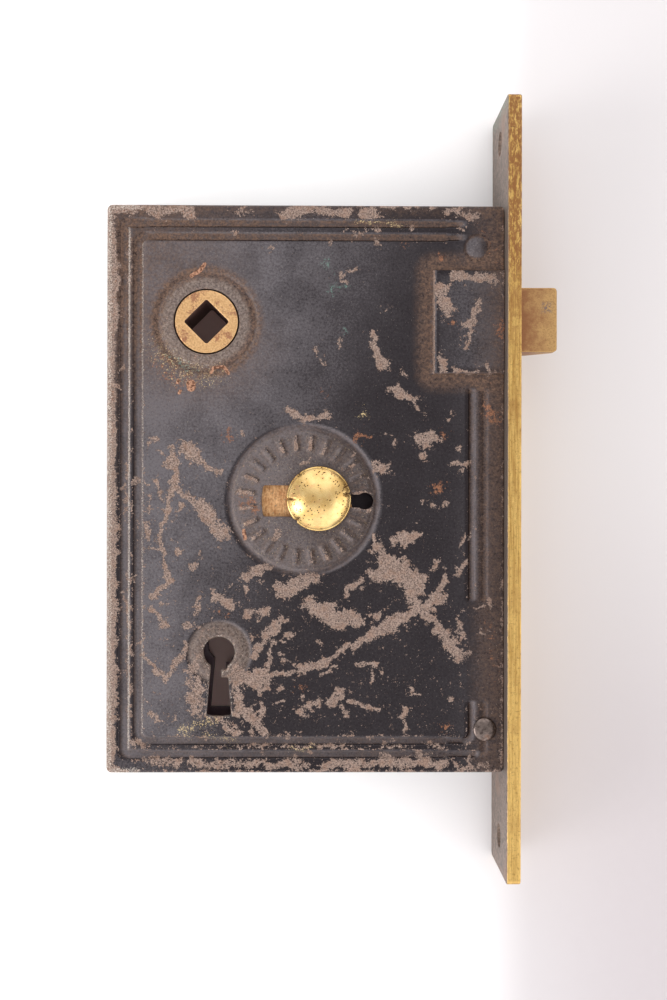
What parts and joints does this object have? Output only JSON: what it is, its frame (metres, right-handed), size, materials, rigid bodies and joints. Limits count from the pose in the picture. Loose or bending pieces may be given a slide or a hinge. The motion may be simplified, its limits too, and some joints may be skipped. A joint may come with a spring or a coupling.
{
  "type": "mortise lock",
  "caption": "Cased mortise lock with a brass faceplate, a bevelled spring latch worked by a square-holed spindle hub, a keyhole, and a domed thumb slide that throws the dead bolt.",
  "frame": {"origin": "centre of the faceplate's outer face, flush with the door's edge", "axes": "+X out of the door's edge, +Y along the faceplate towards the latch, +Z out of the cover"},
  "size_m": [0.1013, 0.1746, 0.0254],
  "materials": {
    "japanned_steel": "worn black japan over rusty sheet steel",
    "worn_brass": "tarnished, worn bright along its edges",
    "latch_brass": "satin, brown with handling",
    "hub_brass": "satin, worn",
    "polished_brass": "polished and pitted",
    "cast_bronze": "rough as cast",
    "dark_iron": "japanned, worn",
    "plain_iron": "oiled, lightly rusted",
    "spring_steel": "blued spring steel"
  },
  "bodies": {
    "case": {"case_back": "japanned_steel", "case_cover": "japanned_steel", "faceplate": "worn_brass", "front_screw_upper": "worn_brass", "front_screw_lower": "worn_brass", "cover_rivet": "dark_iron", "bolt_guide_stud": "plain_iron", "tumbler_post": "plain_iron", "latch_guide": "plain_iron", "latch_spring": "spring_steel"},
    "latch": {"latch_head": "latch_brass", "latch_stem": "plain_iron", "latch_yoke": "cast_bronze", "yoke_pin": "plain_iron", "spring_washer": "worn_brass"},
    "hub": {"hub": "hub_brass"},
    "deadbolt": {"deadbolt_head": "worn_brass", "deadbolt_tail": "cast_bronze", "tail_rivet_upper": "worn_brass", "tail_rivet_lower": "worn_brass", "bolt_stump": "plain_iron", "button_stud": "worn_brass", "button_washer": "worn_brass", "slide_button": "polished_brass"},
    "tumbler": {"tumbler_lever": "worn_brass", "tumbler_spring": "spring_steel"}
  },
  "joints": [
    {"name": "hub_turn", "type": "hinge", "parent": "case", "child": "hub", "pos_m": [-0.06985, 0.0373, 0], "axis": [0, 0, 1], "range_deg": [0, 45]},
    {"name": "latch_slide", "type": "slide", "parent": "case", "child": "latch", "axis": [-1, 0, 0], "range_m": [0, 0.009], "stiffness_N_per_m": 500, "springref_m": -0.01, "deforming": ["latch_spring"]},
    {"name": "deadbolt_slide", "type": "slide", "parent": "case", "child": "deadbolt", "axis": [1, 0, 0], "range_m": [0, 0.0103]},
    {"name": "tumbler_lift", "type": "hinge", "parent": "case", "child": "tumbler", "pos_m": [-0.0845, -0.018, 0], "axis": [0, 0, 1], "range_deg": [0, 5], "stiffness_Nm_per_rad": 0.1, "springref_deg": -17.19}
  ],
  "couplings": [
    {"joint": "hub_turn", "follows": "latch_slide", "rad_per_m": 87.2}
  ]
}
